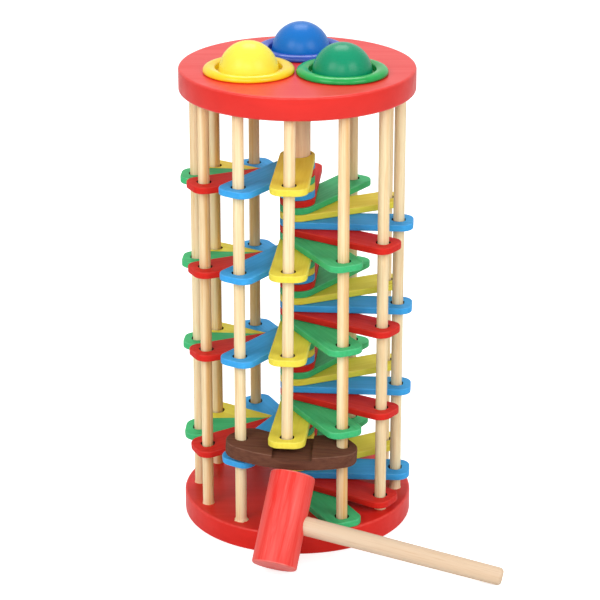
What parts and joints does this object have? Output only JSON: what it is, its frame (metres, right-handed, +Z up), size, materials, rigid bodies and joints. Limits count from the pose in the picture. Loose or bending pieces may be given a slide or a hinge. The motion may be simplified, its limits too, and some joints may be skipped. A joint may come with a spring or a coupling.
{
  "type": "ball pounding toy",
  "caption": "Wooden pounding tower: balls knocked through soft rings in the top disc drop onto a spiral of painted steps and roll out under a bridge, with a mallet.",
  "frame": {"origin": "centre of the base disc's underside, on the floor", "axes": "+Z up along the centre pole, -Y towards the front with the ball gate, +X to the right seen from the front"},
  "size_m": [0.218, 0.2102, 0.3458],
  "materials": {
    "red_paint": "satin paint",
    "yellow_paint": "satin paint",
    "blue_paint": "satin paint",
    "green_paint": "satin paint",
    "pale_wood": "bare sanded wood",
    "beech": "bare sanded wood",
    "brown_stain": "matt stain",
    "yellow_plastic": "gloss",
    "blue_plastic": "gloss",
    "green_plastic": "gloss",
    "yellow_ball": "satin paint",
    "blue_ball": "satin paint",
    "green_ball": "satin paint"
  },
  "bodies": {
    "tower": {"base_disc": "red_paint", "top_disc": "red_paint", "centre_pole": "beech", "rod_01": "pale_wood", "rod_02": "pale_wood", "rod_03": "pale_wood", "rod_04": "pale_wood", "rod_05": "pale_wood", "rod_06": "pale_wood", "rod_07": "pale_wood", "rod_08": "pale_wood", "rod_09": "pale_wood", "rod_10": "pale_wood", "rod_11": "pale_wood", "rod_12": "pale_wood", "bridge": "brown_stain", "step_01_yellow": "yellow_paint", "step_02_blue": "blue_paint", "step_03_red": "red_paint", "step_04_green": "green_paint", "steps_05_yellow_06_blue": "yellow_paint", "steps_07_red_08_green": "red_paint", "steps_09_yellow_10_blue": "yellow_paint", "step_11_red": "red_paint", "step_12_green": "green_paint", "step_13_yellow": "yellow_paint", "step_14_blue": "blue_paint", "step_15_red": "red_paint", "step_16_green": "green_paint", "steps_17_yellow_18_blue": "yellow_paint", "steps_19_red_20_green": "red_paint", "steps_21_yellow_22_blue": "yellow_paint", "step_23_red": "red_paint", "step_24_green": "green_paint", "step_25_yellow": "yellow_paint", "step_26_blue": "blue_paint", "step_27_red": "red_paint", "step_28_green": "green_paint", "steps_29_yellow_30_blue": "yellow_paint", "steps_31_red_32_green": "red_paint", "steps_33_yellow_34_blue": "yellow_paint", "step_35_red": "red_paint", "step_36_green": "green_paint", "step_37_yellow": "yellow_paint", "step_38_blue": "blue_paint", "step_39_red": "red_paint", "step_40_green": "green_paint", "steps_41_yellow_42_blue": "yellow_paint", "steps_43_red_44_green": "red_paint", "steps_45_yellow_46_blue": "yellow_paint", "step_47_red": "red_paint", "step_48_green": "green_paint", "ring_yellow": "yellow_plastic", "ring_blue": "blue_plastic", "ring_green": "green_plastic"},
    "ball_yellow": {"ball_yellow": "yellow_ball"},
    "ball_blue": {"ball_blue": "blue_ball"},
    "ball_green": {"ball_green": "green_ball"},
    "mallet": {"mallet_head": "red_paint", "mallet_handle": "pale_wood"}
  },
  "joints": [
    {"name": "ball_yellow_drop", "type": "slide", "parent": "tower", "child": "ball_yellow", "axis": [0, 0, 1], "range_m": [-0.048, 0.03]},
    {"name": "ball_blue_drop", "type": "slide", "parent": "tower", "child": "ball_blue", "axis": [0, 0, 1], "range_m": [-0.068, 0.03]},
    {"name": "ball_green_drop", "type": "slide", "parent": "tower", "child": "ball_green", "axis": [0, 0, 1], "range_m": [-0.0555, 0.03]},
    {"name": "mallet_lift", "type": "slide", "parent": "tower", "child": "mallet", "axis": [0, -0.9, 0.4359], "range_m": [0, 0.15]}
  ]
}
